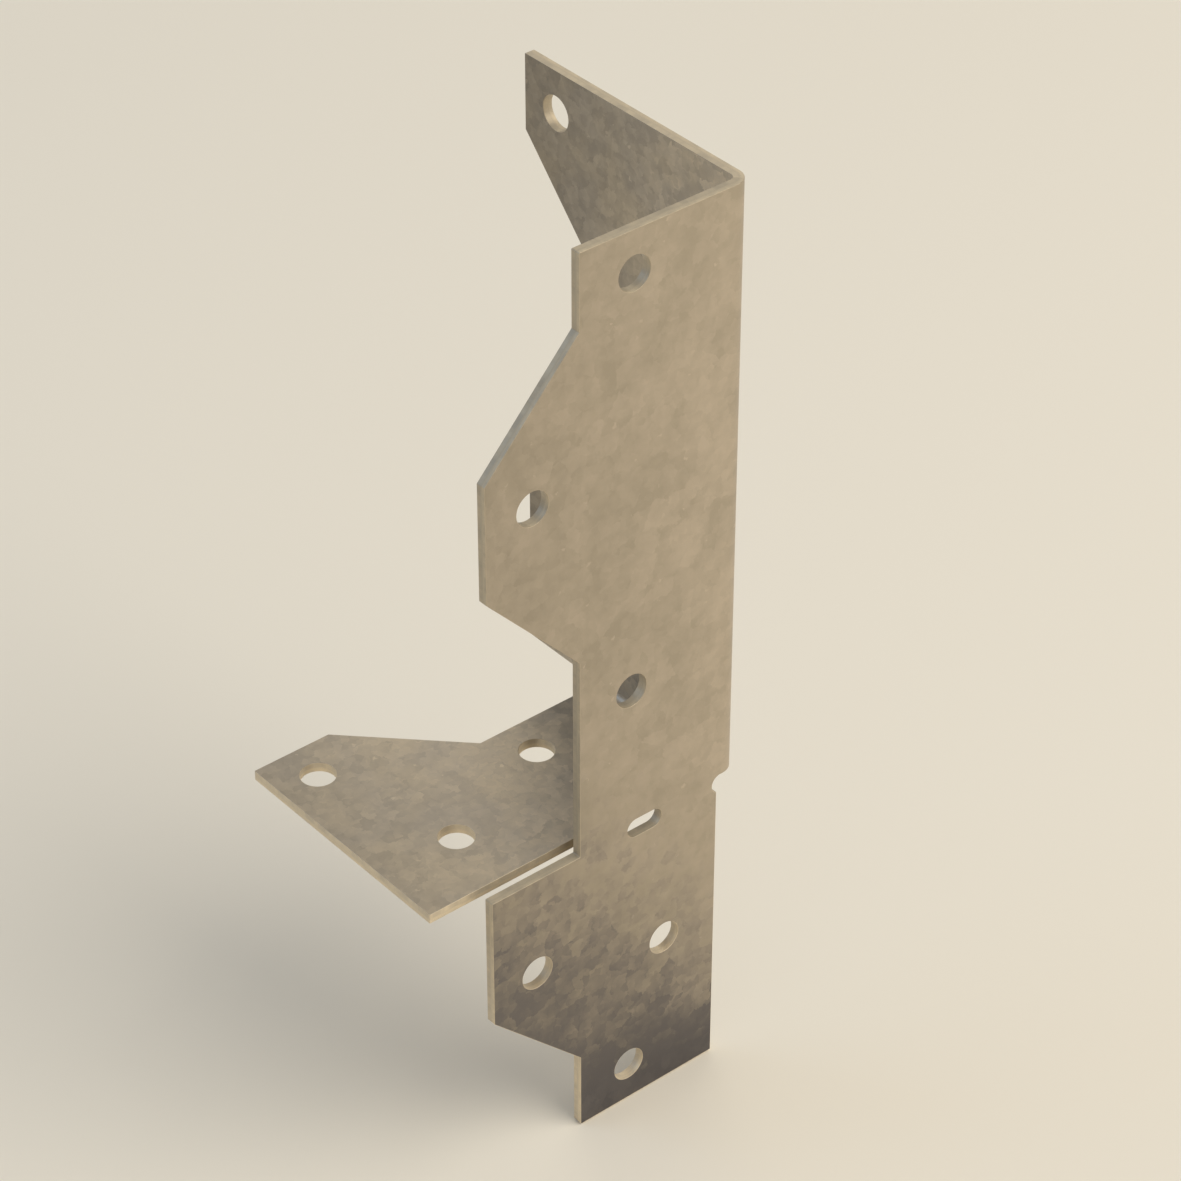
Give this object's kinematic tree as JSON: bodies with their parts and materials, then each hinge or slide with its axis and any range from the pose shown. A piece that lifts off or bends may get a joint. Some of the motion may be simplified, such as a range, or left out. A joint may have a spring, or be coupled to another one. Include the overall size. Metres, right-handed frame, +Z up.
{
  "type": "framing anchor",
  "caption": "Folded galvanised sheet bracket with zig-zag leaves, a level tab, nail holes and fold-line slots, for tying an upright or sloping timber to the plate it crosses.",
  "frame": {"origin": "corner of the timbers that the anchor ties: the side of the upright timber is X = 0, the side of the plate is Y = 0 and its top is Z = 0", "axes": "+Z up; +X into the upright timber, away from the back leaf; +Y into the plate, away from the front leaf"},
  "size_m": [0.0403, 0.0342, 0.1143],
  "materials": {
    "zinc": "matt hot-dip zinc with faint spangle, bluish on the cut edges"
  },
  "bodies": {
    "root": {"anchor": "zinc"}
  },
  "joints": []
}
